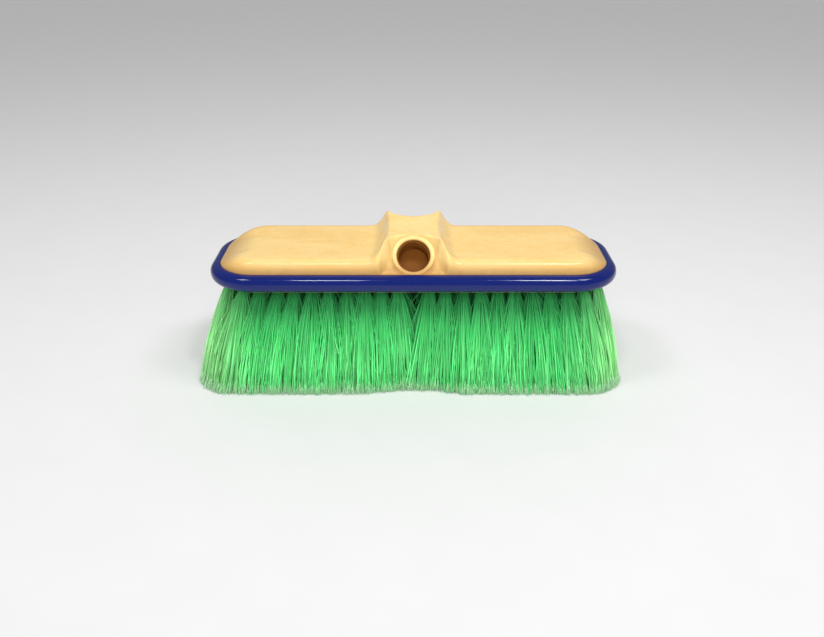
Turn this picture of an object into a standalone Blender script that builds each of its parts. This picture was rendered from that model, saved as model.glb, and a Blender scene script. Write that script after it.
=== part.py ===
"""Vehicle wash brush: foam block, vinyl bumper, bristle tufts and the staple wires that hold them.

Metres, +Z up.  The brush stands on its bristle tips at z = 0 and its length runs along X.  The
handle socket seen from the front looks towards -Y, and its twin looks towards +Y.
"""

import math

import bmesh
import bpy
from mathutils import Matrix, Vector

MM = 0.001

# Clearances and cutter overrun
FIT_GAP = 0.3 * MM
CUT_OVERRUN = 1.0 * MM

# Foam block
BLOCK_LENGTH = 242.4 * MM
BLOCK_DEPTH = 72.0 * MM
BLOCK_CORNER_RADIUS = 24.0 * MM
TRIM_LENGTH = 63.5 * MM
EDGE_HEIGHT = 12.3 * MM
TOP_RISE = 7.9 * MM
SIDE_FILLET_RUN = 7.0 * MM
SIDE_FILLET_POWER = 2.4
END_FILLET_RUN = 19.5 * MM
END_FILLET_POWER = 1.2

# Boss over the two sockets
BOSS_RISE = 10.6 * MM
BOSS_EAR_LIFT = 1.2 * MM
BOSS_WAIST_WIDTH = 32.0 * MM
BOSS_EAR_WIDTH = 35.0 * MM
BOSS_EAR_INSET = 7.0 * MM
BOSS_FLANK_RUN = 10.5 * MM
FLANK_POWER = 2.2
SHOULDER_SHARE = 0.14
BLEND_RADIUS = 2.4 * MM

# Threaded handle sockets, one on each long side
SOCKET_TILT = math.radians(40.0)
SOCKET_MOUTH_INSET = 8.9 * MM
SOCKET_MOUTH_DROP = 9.65 * MM
SOCKET_MOUTH_RADIUS = 10.35 * MM
SOCKET_LEAD_IN = 1.6 * MM
SOCKET_DEPTH = 15.0 * MM
THREAD_CREST_RADIUS = 9.4 * MM
THREAD_GROOVE_DEPTH = 0.9 * MM
THREAD_PITCH = 5.08 * MM
THREAD_GROOVE_WIDTH = 3.2 * MM
THREAD_GROOVE_FLOOR = 1.4 * MM
THREAD_TURNS = 2.0
THREAD_STEPS_PER_TURN = 18
COLLAR_RADIUS = 13.0 * MM
COLLAR_PROUD = 0.6 * MM
SCOOP_RADIUS = 13.2 * MM
SCOOP_SPLAY = 0.48
SCOOP_RUN = 2.5 * MM

# Bumper ring, pressed into a groove round the block's edge
BUMPER_HEIGHT = 10.4 * MM
BUMPER_REACH = 6.3 * MM
BUMPER_SEAT_ABOVE_UNDERSIDE = 1.8 * MM
TONGUE_HEIGHT = 4.0 * MM
TONGUE_DEPTH = 2.2 * MM

# Tufts: columns along X on each side of a bare centre, rows along Y
COLUMN_PITCH = 10.56 * MM
FIRST_COLUMN = 9.8 * MM
ROW_PITCH = 12.8 * MM
ROWS = 5
EDGE_MARGIN = 5.4 * MM
TUFT_HOLE_RADIUS = 2.3 * MM
TUFT_HOLE_DEPTH = 7.8 * MM
TUFT_SIDES = 6
SLICE_THICKNESS = 2.3 * MM
RIM_WALL = 3.2 * MM

# Bristle strands, fanned out from each tuft to flat-cut tips
STRAND_SIDES = 3
STRAND_ROOT_SPACING = 1.7 * MM
STRAND_ROOT_RADIUS = 0.75 * MM
STRAND_TIP_RADIUS = 2.4 * MM
STRAND_EMBED = 0.9 * MM
TIP_HALF_LENGTH = 138.0 * MM
TIP_HALF_DEPTH = 51.0 * MM

# Staple wires, one strip for each column of tufts
STAPLE_THICKNESS = 0.7 * MM
STAPLE_HEIGHT = 1.8 * MM
STAPLE_BITE = 1.2 * MM
STAPLE_WEB_HEIGHT = 0.9 * MM

# Mesh density
CORNER_STATIONS = 7
FILLET_STATIONS = 4
BOSS_STATIONS = 12
MIDDLE_LINES = 18
PLAIN_STATIONS = 3
CYLINDER_SIDES = 36
CORNER_ARC_STEPS = 8
BUMPER_SECTION_STEPS = 8

# Heights and half sizes that follow
HALF_LENGTH = BLOCK_LENGTH / 2
HALF_DEPTH = BLOCK_DEPTH / 2
UNDERSIDE_Z = TRIM_LENGTH
LIP_Z = UNDERSIDE_Z + EDGE_HEIGHT
TOP_Z = LIP_Z + TOP_RISE
BOSS_Z = TOP_Z + BOSS_RISE
BOSS_HALF_WIDTH = BOSS_EAR_WIDTH / 2 + BOSS_FLANK_RUN
SOCKET_MOUTH_Y = HALF_DEPTH - SOCKET_MOUTH_INSET
SOCKET_MOUTH_Z = BOSS_Z - SOCKET_MOUTH_DROP
POCKET_CEILING_Z = UNDERSIDE_Z + SLICE_THICKNESS + FIT_GAP
TUFT_HOLE_TOP_Z = UNDERSIDE_Z + TUFT_HOLE_DEPTH
STAPLE_TOP_Z = TUFT_HOLE_TOP_Z - FIT_GAP
PLUG_TOP_Z = STAPLE_TOP_Z - STAPLE_WEB_HEIGHT - FIT_GAP
PLUG_RADIUS = TUFT_HOLE_RADIUS - FIT_GAP

COLOURS = {
    "foam": ((0.86, 0.58, 0.27, 1.0), 0.45),
    "vinyl": ((0.010, 0.022, 0.215, 1.0), 0.18),
    "bristle": ((0.07, 0.52, 0.14, 1.0), 0.35),
    "staple": ((0.62, 0.60, 0.56, 1.0), 0.30),
}


def clear_scene():
    """Remove every object that the scene holds."""
    for found in list(bpy.data.objects):
        bpy.data.objects.remove(found)


def make_collection(name):
    """Add a collection to the scene."""
    collection = bpy.data.collections.new(name)
    bpy.context.scene.collection.children.link(collection)
    return collection


def make_material(name):
    """Build a Principled material in the colour and roughness of one finish."""
    colour, roughness = COLOURS[name]
    material = bpy.data.materials.new(name)
    material.use_nodes = True
    shader = material.node_tree.nodes["Principled BSDF"]
    shader.inputs["Base Color"].default_value = colour
    shader.inputs["Roughness"].default_value = roughness
    shader.inputs["Metallic"].default_value = 1.0 if name == "staple" else 0.0
    return material


def object_from_bmesh(bm, name, collection):
    """Turn a bmesh into an object, with its faces pointing out."""
    bmesh.ops.recalc_face_normals(bm, faces=bm.faces[:])
    mesh = bpy.data.meshes.new(name)
    bm.to_mesh(mesh)
    bm.free()
    made = bpy.data.objects.new(name, mesh)
    collection.objects.link(made)
    return made


def as_cutter(made):
    """Mark an object as a guide that is cut with, and is not part of the model."""
    made.hide_render = True
    made.display_type = "WIRE"
    return made


def boolean(target, cutter, operation):
    """Add a Boolean modifier to the target."""
    modifier = target.modifiers.new(f"{operation.title()} {cutter.name}", "BOOLEAN")
    modifier.operation = operation
    modifier.object = cutter


def curve_object(name, points, collection):
    """Make a closed flat curve through the points."""
    curve = bpy.data.curves.new(name, "CURVE")
    curve.dimensions = "2D"
    spline = curve.splines.new("POLY")
    spline.points.add(len(points) - 1)
    for spline_point, (x, y) in zip(spline.points, points):
        spline_point.co = (x, y, 0.0, 1.0)
    spline.use_cyclic_u = True
    made = bpy.data.objects.new(name, curve)
    collection.objects.link(made)
    return made


def mesh_from_curve(source, name, collection):
    """Replace a curve object by the welded mesh of its evaluated shape."""
    bpy.context.view_layer.update()
    evaluated = source.evaluated_get(bpy.context.evaluated_depsgraph_get())
    bm = bmesh.new()
    bm.from_mesh(bpy.data.meshes.new_from_object(evaluated))
    bmesh.ops.remove_doubles(bm, verts=bm.verts[:], dist=FIT_GAP / 100)
    made = object_from_bmesh(bm, name, collection)
    made.matrix_world = source.matrix_world
    bpy.data.objects.remove(source)
    return made


def extruded_outline(name, points, bottom, top, collection):
    """Extrude a flat outline from one height to another."""
    source = curve_object(name + " outline", points, collection)
    source.data.fill_mode = "BOTH"
    source.data.extrude = (top - bottom) / 2
    source.location.z = (top + bottom) / 2
    return mesh_from_curve(source, name, collection)


def block_outline():
    """Points round the block's rounded rectangle, clockwise from above."""
    radius = BLOCK_CORNER_RADIUS
    centres = ((1, 1), (1, -1), (-1, -1), (-1, 1))
    points = []
    for corner, (sign_x, sign_y) in enumerate(centres):
        centre_x = sign_x * (HALF_LENGTH - radius)
        centre_y = sign_y * (HALF_DEPTH - radius)
        for step in range(CORNER_ARC_STEPS + 1):
            angle = math.pi / 2 * (1 - corner - step / CORNER_ARC_STEPS)
            points.append((centre_x + radius * math.cos(angle), centre_y + radius * math.sin(angle)))
    return points


def ring_round_block(name, profile, height, collection):
    """Sweep a closed profile round the block.  Its x runs inwards and its y upwards."""
    path = curve_object(name + " path", block_outline(), collection)
    section = curve_object(name + " section", profile, collection)
    path.data.fill_mode = "NONE"
    section.data.fill_mode = "NONE"
    path.data.bevel_mode = "OBJECT"
    path.data.bevel_object = section
    path.location.z = height
    made = mesh_from_curve(path, name, collection)
    bpy.data.objects.remove(section)
    return made


def half_depth_at(x):
    """Half the block's depth at a place along its length."""
    into_corner = abs(x) - (HALF_LENGTH - BLOCK_CORNER_RADIUS)
    if into_corner <= 0:
        return HALF_DEPTH
    reach = max(BLOCK_CORNER_RADIUS ** 2 - into_corner ** 2, 0)
    return HALF_DEPTH - BLOCK_CORNER_RADIUS + math.sqrt(reach)


def rounded(share, power=2.0):
    """Quarter of an oval that climbs from 0 to 1 while the share does: a circle's at power 2."""
    return (1 - (1 - min(share, 1)) ** power) ** (1 / power)


def pillow_share(x, y):
    """Height over the edge fillet: 0 at the block's outline, 1 on its flat top."""
    dx = max(abs(x) - (HALF_LENGTH - BLOCK_CORNER_RADIUS), 0)
    dy = max(abs(y) - (HALF_DEPTH - BLOCK_CORNER_RADIUS), 0)
    from_centre = math.hypot(dx, dy)
    if from_centre == 0:
        return 1
    endwards = (dx / from_centre) ** 2
    run = SIDE_FILLET_RUN + (END_FILLET_RUN - SIDE_FILLET_RUN) * endwards
    power = SIDE_FILLET_POWER + (END_FILLET_POWER - SIDE_FILLET_POWER) * endwards
    return rounded(max(BLOCK_CORNER_RADIUS - from_centre, 0) / run, power)


def smooth_minimum(first, second, radius):
    """The lower of two heights, with the edge between them rounded."""
    overlap = max(radius - abs(first - second), 0) / radius
    return min(first, second) - overlap ** 2 * radius / 4


def scoop_height(x, y):
    """Height of the slanted face round a socket's mouth, with the walls that rise beside it."""
    up_face = (SOCKET_MOUTH_Y - abs(y)) / math.sin(SOCKET_TILT)
    face_z = SOCKET_MOUTH_Z + up_face * math.cos(SOCKET_TILT)
    edge = SCOOP_RADIUS + SCOOP_SPLAY * max(-up_face, 0)
    beyond = max(math.hypot(x, max(up_face, 0)) - edge, 0) / SCOOP_RUN
    return max(face_z, LIP_Z) + BOSS_RISE * beyond ** 2


def top_height(x, y):
    """Height of the block's upper surface: pillow, boss and the scoops round the sockets."""
    pillow = LIP_Z + TOP_RISE * pillow_share(x, y)
    ear_y = HALF_DEPTH - BOSS_EAR_INSET
    flare = (BOSS_EAR_WIDTH - BOSS_WAIST_WIDTH) / 2 * (y / ear_y) ** 2
    beyond = (abs(x) - BOSS_WAIST_WIDTH / 2 - flare) / BOSS_FLANK_RUN
    if beyond >= 1:
        return pillow
    front = rounded(max(HALF_DEPTH - abs(y), 0) / BOSS_EAR_INSET)
    flank = (1 - beyond) ** FLANK_POWER
    if flank > 1 - SHOULDER_SHARE:
        flank = 1 - SHOULDER_SHARE * math.exp((1 - SHOULDER_SHARE - flank) / SHOULDER_SHARE)
    crown = BOSS_Z + BOSS_EAR_LIFT * (y / ear_y) ** 2
    boss = pillow + (crown - pillow) * flank * front
    return max(smooth_minimum(boss, scoop_height(x, y), BLEND_RADIUS), LIP_Z)


def stations_along_length():
    """Places along X where the block's surface has an edge, from one end to the other."""
    corner_start = HALF_LENGTH - BLOCK_CORNER_RADIUS
    half = [BOSS_HALF_WIDTH * step / BOSS_STATIONS for step in range(BOSS_STATIONS + 1)]
    plain = corner_start - BOSS_HALF_WIDTH
    half += [BOSS_HALF_WIDTH + plain * step / PLAIN_STATIONS for step in range(1, PLAIN_STATIONS + 1)]
    for step in range(1, CORNER_STATIONS + 1):
        angle = math.pi / 2 * step / CORNER_STATIONS
        half.append(corner_start + BLOCK_CORNER_RADIUS * math.sin(angle))
    return [-x for x in half[:0:-1]] + half


def lines_across_depth():
    """Places along Y as shares of the half depth, closer together over the edge fillets."""
    flat_share = 1 - SIDE_FILLET_RUN / HALF_DEPTH
    lines = [flat_share * (2 * step / MIDDLE_LINES - 1) for step in range(MIDDLE_LINES + 1)]
    for step in range(1, FILLET_STATIONS + 1):
        share = flat_share + (1 - flat_share) * math.sin(math.pi / 2 * step / FILLET_STATIONS)
        lines = [-share] + lines + [share]
    return lines


def block_body(collection):
    """Build the uncut block: a grid bent into the upper surface, with walls and an underside."""
    stations = stations_along_length()
    lines = lines_across_depth()
    bm = bmesh.new()
    bmesh.ops.create_grid(bm, x_segments=len(stations) - 1, y_segments=len(lines) - 1, size=1.0)
    for vertex in bm.verts:
        column = round((vertex.co.x + 1) / 2 * (len(stations) - 1))
        row = round((vertex.co.y + 1) / 2 * (len(lines) - 1))
        x = stations[column]
        y = lines[row] * half_depth_at(x)
        vertex.co = (x, y, top_height(x, y))
    rim = [edge for edge in bm.edges if edge.is_boundary]
    skirt = bmesh.ops.extrude_edge_only(bm, edges=rim)["geom"]
    for part in skirt:
        if isinstance(part, bmesh.types.BMVert):
            part.co.z = UNDERSIDE_Z
    open_edges = [edge for edge in bm.edges if edge.is_boundary]
    bmesh.ops.contextual_create(bm, geom=open_edges)
    return object_from_bmesh(bm, "foam_block", collection)


def socket_frame(side):
    """Matrix whose Z axis leaves a socket's mouth.  The side is -1 for the front, 1 for the rear."""
    axis = Vector((0, side * math.cos(SOCKET_TILT), math.sin(SOCKET_TILT)))
    turn = axis.to_track_quat("Z", "X").to_matrix().to_4x4()
    return Matrix.Translation((0, side * SOCKET_MOUTH_Y, SOCKET_MOUTH_Z)) @ turn


def cylinder(name, radius, bottom, top, frame, collection):
    """Make a closed cylinder along a frame's Z axis."""
    bm = bmesh.new()
    place = Matrix.Translation((0, 0, (bottom + top) / 2))
    bmesh.ops.create_cone(bm, cap_ends=True, segments=CYLINDER_SIDES, radius1=radius,
                          radius2=radius, depth=top - bottom, matrix=place)
    made = object_from_bmesh(bm, name, collection)
    made.matrix_world = frame
    return made


def thread_groove(name, frame, collection):
    """Wind the thread's groove round the bore as a closed helical bar."""
    floor_radius = THREAD_CREST_RADIUS + THREAD_GROOVE_DEPTH
    inner_radius = THREAD_CREST_RADIUS - THREAD_GROOVE_DEPTH
    overcut = (THREAD_GROOVE_WIDTH - THREAD_GROOVE_FLOOR) / 2
    section = ((inner_radius, -THREAD_GROOVE_WIDTH / 2 - overcut),
               (floor_radius, -THREAD_GROOVE_FLOOR / 2),
               (floor_radius, THREAD_GROOVE_FLOOR / 2),
               (inner_radius, THREAD_GROOVE_WIDTH / 2 + overcut))
    start = THREAD_GROOVE_WIDTH / 2 + overcut + COLLAR_PROUD - SOCKET_DEPTH
    bm = bmesh.new()
    bm.faces.new([bm.verts.new((x, 0, start + z)) for x, z in section])
    steps = round(THREAD_TURNS * THREAD_STEPS_PER_TURN)
    bmesh.ops.spin(bm, geom=bm.verts[:] + bm.edges[:] + bm.faces[:], cent=(0, 0, 0), axis=(0, 0, 1),
                   dvec=(0, 0, THREAD_PITCH / THREAD_STEPS_PER_TURN),
                   angle=math.tau * steps / THREAD_STEPS_PER_TURN, steps=steps)
    made = object_from_bmesh(bm, name, collection)
    made.matrix_world = frame
    return made


def add_sockets(block, cutters):
    """Raise a collar round each socket's mouth, then cut the bores and their threads."""
    frames = {"front": socket_frame(-1), "rear": socket_frame(1)}
    for side, frame in frames.items():
        collar = cylinder(f"collar_{side}", COLLAR_RADIUS, -SOCKET_DEPTH / 2, COLLAR_PROUD, frame, cutters)
        boolean(block, as_cutter(collar), "UNION")
    for side, frame in frames.items():
        clear = COLLAR_PROUD + COLLAR_RADIUS + CUT_OVERRUN
        bore = cylinder(f"bore_{side}", THREAD_CREST_RADIUS, -SOCKET_DEPTH, clear, frame, cutters)
        boolean(block, as_cutter(bore), "DIFFERENCE")
        mouth = cylinder(f"mouth_{side}", SOCKET_MOUTH_RADIUS, -SOCKET_LEAD_IN, clear, frame, cutters)
        boolean(block, as_cutter(mouth), "DIFFERENCE")
        boolean(block, as_cutter(thread_groove(f"thread_{side}", frame, cutters)), "DIFFERENCE")


def bumper_profile():
    """Half round section with its tongue; x runs inwards from the block's wall."""
    half_height = BUMPER_HEIGHT / 2
    points = []
    for step in range(BUMPER_SECTION_STEPS + 1):
        angle = math.pi * step / BUMPER_SECTION_STEPS
        points.append((-FIT_GAP - BUMPER_REACH * math.sin(angle), half_height * math.cos(angle)))
    tongue = TONGUE_HEIGHT / 2
    points += [(-FIT_GAP, -tongue), (TONGUE_DEPTH, -tongue), (TONGUE_DEPTH, tongue), (-FIT_GAP, tongue)]
    return points


def groove_profile():
    """Section of the groove that takes the bumper's tongue."""
    half = TONGUE_HEIGHT / 2 + FIT_GAP
    floor = TONGUE_DEPTH + FIT_GAP
    return [(-CUT_OVERRUN, half), (-CUT_OVERRUN, -half), (floor, -half), (floor, half)]


def bumper_height():
    """Height of the bumper's middle."""
    return UNDERSIDE_Z + BUMPER_SEAT_ABOVE_UNDERSIDE + BUMPER_HEIGHT / 2


def column_places():
    """Distances from the middle to the tuft columns on one side."""
    room = HALF_LENGTH - EDGE_MARGIN - FIRST_COLUMN
    return [FIRST_COLUMN + COLUMN_PITCH * step for step in range(int(room / COLUMN_PITCH) + 1)]


def row_places(x):
    """Places along Y of the tufts in one column."""
    rows = [ROW_PITCH * (row - (ROWS - 1) / 2) for row in range(ROWS)]
    return [y for y in rows if abs(y) <= half_depth_at(x) - EDGE_MARGIN]


def slice_half_depth(x):
    """Half the length of a column's slice of the block, clear of the rim on both its edges."""
    outer_edge = min(abs(x) + COLUMN_PITCH / 2, HALF_LENGTH - RIM_WALL)
    return half_depth_at(outer_edge) - RIM_WALL


def pocket_outline(side):
    """Stepped outline of the pocket that takes the slices on one side."""
    near = FIRST_COLUMN - COLUMN_PITCH / 2
    upper = []
    for x in column_places():
        inner_edge = x - COLUMN_PITCH / 2
        outer_edge = min(x + COLUMN_PITCH / 2, HALF_LENGTH - RIM_WALL)
        half = slice_half_depth(x)
        if upper and upper[-1][1] == half:
            upper[-1] = (outer_edge, half)
            continue
        upper += [(inner_edge if upper else near, half), (outer_edge, half)]
    lower = [(x, -y) for x, y in reversed(upper)]
    return [(side * x, y) for x, y in upper + lower]


def add_pockets(block, cutters):
    """Cut the underside for the slices, and the holes above them for the tufts and staples."""
    for side, label in ((-1, "left"), (1, "right")):
        pocket = extruded_outline(f"pocket_{label}", pocket_outline(side), UNDERSIDE_Z - CUT_OVERRUN,
                                  POCKET_CEILING_Z, cutters)
        boolean(block, as_cutter(pocket), "DIFFERENCE")
    holes = bmesh.new()
    slots = bmesh.new()
    bottom = UNDERSIDE_Z + SLICE_THICKNESS - CUT_OVERRUN
    middle = (TUFT_HOLE_TOP_Z + bottom) / 2
    slot_width = STAPLE_THICKNESS + 2 * FIT_GAP
    for x in [side * place for side in (-1, 1) for place in column_places()]:
        rows = row_places(x)
        for y in rows:
            bmesh.ops.create_cone(holes, cap_ends=True, segments=TUFT_SIDES, radius1=TUFT_HOLE_RADIUS,
                                  radius2=TUFT_HOLE_RADIUS, depth=TUFT_HOLE_TOP_Z - bottom,
                                  matrix=Matrix.Translation((x, y, middle)))
        half_slot = max(rows) + TUFT_HOLE_RADIUS + STAPLE_BITE + FIT_GAP
        size = Matrix.Diagonal((slot_width, 2 * half_slot, TUFT_HOLE_TOP_Z - bottom, 1))
        bmesh.ops.create_cube(slots, size=1.0, matrix=Matrix.Translation((x, 0, middle)) @ size)
    boolean(block, as_cutter(object_from_bmesh(holes, "tuft_holes", cutters)), "DIFFERENCE")
    boolean(block, as_cutter(object_from_bmesh(slots, "staple_slots", cutters)), "DIFFERENCE")


def add_block(model, cutters, material):
    """Build the foam block with its sockets, edge groove, pockets and tuft holes."""
    block = block_body(model)
    add_sockets(block, cutters)
    groove = ring_round_block("edge_groove", groove_profile(), bumper_height(), cutters)
    boolean(block, as_cutter(groove), "DIFFERENCE")
    add_pockets(block, cutters)
    block.data.materials.append(material)


def add_bumper(model, material):
    """Build the bumper ring, seated round the block's edge with its tongue in the groove."""
    bumper = ring_round_block("vinyl_bumper", bumper_profile(), bumper_height(), model)
    bumper.data.shade_smooth()
    bumper.data.materials.append(material)


def strand_ends(x, y, column, corner):
    """Root and tip of one strand; the tips spread evenly over the cut face."""
    along, across = corner
    columns = len(column_places())
    tip_column_pitch = (TIP_HALF_LENGTH - STRAND_TIP_RADIUS) / (columns - 1 / 4)
    tip_row_pitch = (TIP_HALF_DEPTH - STRAND_TIP_RADIUS) / (ROWS / 2 - 1 / 4)
    root = Vector((x + along * STRAND_ROOT_SPACING / 2, y + across * STRAND_ROOT_SPACING / 2, UNDERSIDE_Z))
    tip_x = tip_column_pitch * (math.copysign(column + 1 / 2, x) + along / 4)
    tip_y = tip_row_pitch * (y / ROW_PITCH + across / 4)
    return root, Vector((tip_x, tip_y, 0))


def add_strand(bm, root, tip):
    """Add a leaning strand whose ends are cut level, with one of its edges facing outwards."""
    lean = (root - tip) / (root.z - tip.z)
    height = root.z - tip.z + STRAND_EMBED
    shear = Matrix.Identity(4)
    shear[0][2] = lean.x
    shear[1][2] = lean.y
    turn = Matrix.Rotation(math.pi if root.y < 0 else 0, 4, "Z")
    place = Matrix.Translation(tip) @ shear @ Matrix.Translation((0, 0, height / 2)) @ turn
    bmesh.ops.create_cone(bm, cap_ends=True, segments=STRAND_SIDES, radius1=STRAND_TIP_RADIUS,
                          radius2=STRAND_ROOT_RADIUS, depth=height, matrix=place)


def add_bristle_column(number, side, column, model, cutters, material):
    """Build one column of tufts, fused to its slice of the block's underside."""
    x = side * column_places()[column]
    half_slice = slice_half_depth(x) - FIT_GAP
    near = abs(x) - COLUMN_PITCH / 2 + FIT_GAP / 2
    far = min(abs(x) + COLUMN_PITCH / 2, HALF_LENGTH - RIM_WALL) - FIT_GAP / 2
    body = bmesh.new()
    size = Matrix.Diagonal((far - near, 2 * half_slice, SLICE_THICKNESS, 1))
    centre = (side * (near + far) / 2, 0, UNDERSIDE_Z + SLICE_THICKNESS / 2)
    bmesh.ops.create_cube(body, size=1.0, matrix=Matrix.Translation(centre) @ size)
    made = object_from_bmesh(body, f"bristle_column_{number:02d}", model)
    tufts = bmesh.new()
    plug_bottom = UNDERSIDE_Z + (STRAND_EMBED + SLICE_THICKNESS) / 2
    for y in row_places(x):
        place = Matrix.Translation((x, y, (PLUG_TOP_Z + plug_bottom) / 2))
        bmesh.ops.create_cone(tufts, cap_ends=True, segments=TUFT_SIDES, radius1=PLUG_RADIUS,
                              radius2=PLUG_RADIUS, depth=PLUG_TOP_Z - plug_bottom, matrix=place)
        for corner in ((1, 1), (-1, 1), (-1, -1), (1, -1)):
            add_strand(tufts, *strand_ends(x, y, column, corner))
    boolean(made, as_cutter(object_from_bmesh(tufts, f"tufts_{number:02d}", cutters)), "UNION")
    made.data.materials.append(material)


def staple_outline(rows):
    """Side view of a column's staples: a web over the tufts, with teeth in the foam between them."""
    bottom, web = -STAPLE_HEIGHT, -STAPLE_WEB_HEIGHT
    clear = PLUG_RADIUS + FIT_GAP
    start, end = rows[0] - clear - STAPLE_BITE, rows[-1] + clear + STAPLE_BITE
    points = [(start, bottom)]
    for y in rows:
        points += [(y - clear, bottom), (y - clear, web), (y + clear, web), (y + clear, bottom)]
    return points + [(end, bottom), (end, 0), (start, 0)]


def add_staple_wire(number, side, column, model, material):
    """Build the strip that stands for the staples of one column."""
    x = side * column_places()[column]
    source = extruded_outline(f"staple_wire_{number:02d}", staple_outline(row_places(x)),
                              -STAPLE_THICKNESS / 2, STAPLE_THICKNESS / 2, model)
    source.matrix_world = (Matrix.Translation((x, 0, STAPLE_TOP_Z)) @ Matrix.Rotation(math.pi / 2, 4, "Z")
                           @ Matrix.Rotation(math.pi / 2, 4, "X"))
    source.data.materials.append(material)


def build():
    """Build the whole brush."""
    clear_scene()
    model = make_collection("wash_brush")
    cutters = make_collection("cutters")
    materials = {name: make_material(name) for name in COLOURS}
    add_block(model, cutters, materials["foam"])
    add_bumper(model, materials["vinyl"])
    columns = range(len(column_places()))
    order = [(-1, column) for column in reversed(columns)] + [(1, column) for column in columns]
    for number, (side, column) in enumerate(order, start=1):
        add_bristle_column(number, side, column, model, cutters, materials["bristle"])
        add_staple_wire(number, side, column, model, materials["staple"])


build()
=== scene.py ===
"""Car wash brush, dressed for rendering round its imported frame.

The foam block with its threaded handle sockets, the vinyl bumper round its edge and the flagged
filament of the tufts are modelled here, and the staple wires keep their own solids.  Lengths are
in metres, +Z is up, and the brush stands on its bristle tips at z = 0.
"""

import logging
import math
import random
from collections.abc import Mapping, Sequence
from dataclasses import dataclass, field
from enum import Enum, IntEnum

import bmesh
import bpy
from mathutils import Matrix, Vector, noise


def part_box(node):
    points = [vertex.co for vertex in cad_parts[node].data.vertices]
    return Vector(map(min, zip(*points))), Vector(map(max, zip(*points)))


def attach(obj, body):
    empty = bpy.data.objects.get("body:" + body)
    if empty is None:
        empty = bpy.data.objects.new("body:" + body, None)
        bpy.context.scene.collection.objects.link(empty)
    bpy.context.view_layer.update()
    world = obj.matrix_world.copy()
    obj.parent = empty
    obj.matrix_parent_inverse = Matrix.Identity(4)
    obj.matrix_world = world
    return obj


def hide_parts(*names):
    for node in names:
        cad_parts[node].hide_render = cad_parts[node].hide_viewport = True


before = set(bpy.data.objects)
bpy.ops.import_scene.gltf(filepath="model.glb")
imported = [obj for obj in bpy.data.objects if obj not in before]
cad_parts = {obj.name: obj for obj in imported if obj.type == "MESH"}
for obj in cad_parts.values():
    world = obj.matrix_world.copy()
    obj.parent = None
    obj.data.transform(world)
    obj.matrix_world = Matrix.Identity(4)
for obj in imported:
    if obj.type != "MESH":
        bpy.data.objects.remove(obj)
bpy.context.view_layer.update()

BODY = "root"
MM = 0.001
WELD = MM / 1000
QUARTER_TURN = math.pi / 2
GOLDEN_TURN = 3 - math.sqrt(5)
MIDDLE_TONE = 0.5

log = logging.getLogger("wash_brush")

Colour = tuple[float, float, float, float]
Triple = tuple[float, float, float]


class Slot(Enum):
    """Material slots of the record."""

    FOAM = "foam"
    VINYL = "vinyl"
    BRISTLE = "bristle"
    STAPLE = "staple"


class Side(IntEnum):
    """Sides of the block that a handle socket looks out of, as signs of Y."""

    FRONT = -1
    REAR = 1


class Signal:
    """An output socket that takes part in arithmetic by adding Math nodes to its tree."""

    def __init__(self, sheet: "ShaderSheet", socket: bpy.types.NodeSocket) -> None:
        """Wrap a socket of a sheet's tree."""
        self.sheet = sheet
        self.socket = socket

    def _math(self, operation: str, first: "Signal | float", second: "Signal | float") -> "Signal":
        """Add one Math node that works on two values or signals."""
        return self.sheet.signal("ShaderNodeMath", {"operation": operation}, {0: first, 1: second})

    def __add__(self, other: "Signal | float") -> "Signal":
        """Add a value or signal."""
        return self._math("ADD", self, other)

    def __sub__(self, other: "Signal | float") -> "Signal":
        """Take away a value or signal."""
        return self._math("SUBTRACT", self, other)

    def __rsub__(self, other: float) -> "Signal":
        """Take this signal away from a value."""
        return self._math("SUBTRACT", other, self)

    def __mul__(self, other: "Signal | float") -> "Signal":
        """Multiply by a value or signal."""
        return self._math("MULTIPLY", self, other)

    def __pow__(self, power: float) -> "Signal":
        """Raise to a power."""
        return self._math("POWER", self, power)

    __radd__ = __add__
    __rmul__ = __mul__

    def __abs__(self) -> "Signal":
        """Drop the sign."""
        return self.sheet.signal("ShaderNodeMath", {"operation": "ABSOLUTE"}, {0: self})

    def between(self, low: float, high: float) -> "Signal":
        """Climb smoothly from 0 to 1 while this signal goes from low to high.

        Args:
            low: The signal at which the result is 0.
            high: The signal at which the result is 1; it may be less than low.

        Returns:
            The clamped result.
        """
        start, end = min(low, high), max(low, high)
        rising = self.sheet.signal("ShaderNodeMapRange", {"interpolation_type": "SMOOTHSTEP"},
                                   {"Value": self, "From Min": start, "From Max": end})
        return rising if high > low else 1 - rising


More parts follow.
